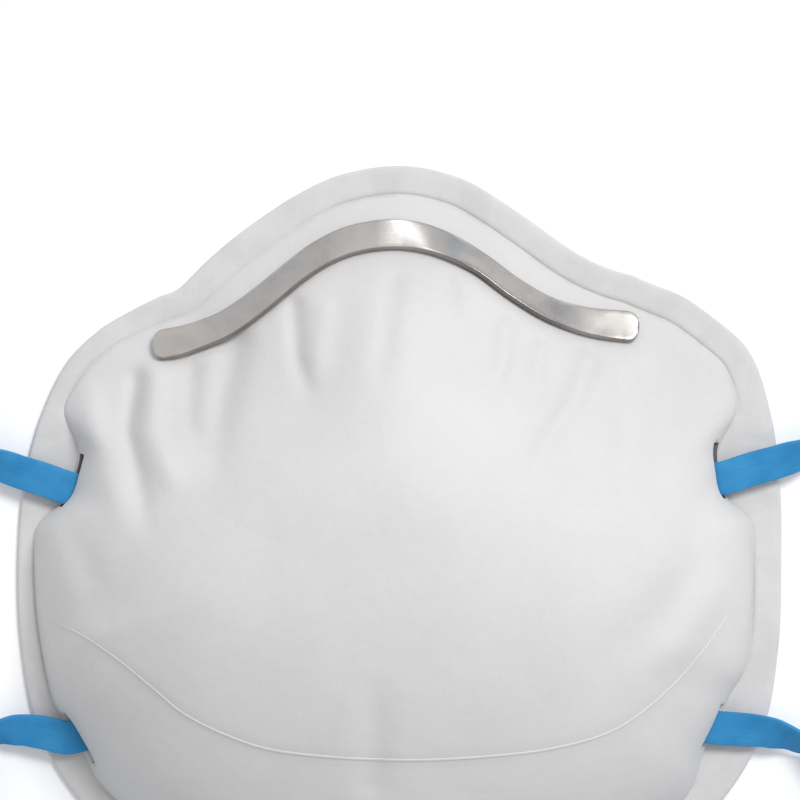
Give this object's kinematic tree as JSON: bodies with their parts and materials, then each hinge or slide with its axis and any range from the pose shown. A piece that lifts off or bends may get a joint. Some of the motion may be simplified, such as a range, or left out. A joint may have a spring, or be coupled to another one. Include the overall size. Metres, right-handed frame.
{
  "type": "molded respirator mask",
  "caption": "Cup-shaped molded fabric respirator with a flat pressed edge, an aluminium nose clip and flat elastic head straps threaded through slits in the cup.",
  "frame": {"origin": "on the surface that the rim rests on, under the middle of the mask's bounding box without its straps", "axes": "+X to the right as seen from the front, +Y towards the nose, +Z out of the mask's front"},
  "size_m": [0.1673, 0.2101, 0.0421],
  "materials": {
    "white_felt": "matte molded nonwoven",
    "clip_aluminium": "satin rolled strip",
    "blue_elastic": "smooth matt"
  },
  "bodies": {
    "root": {"shell": "white_felt", "nose_clip": "clip_aluminium", "strap_upper": "blue_elastic", "strap_lower": "blue_elastic"}
  },
  "joints": []
}
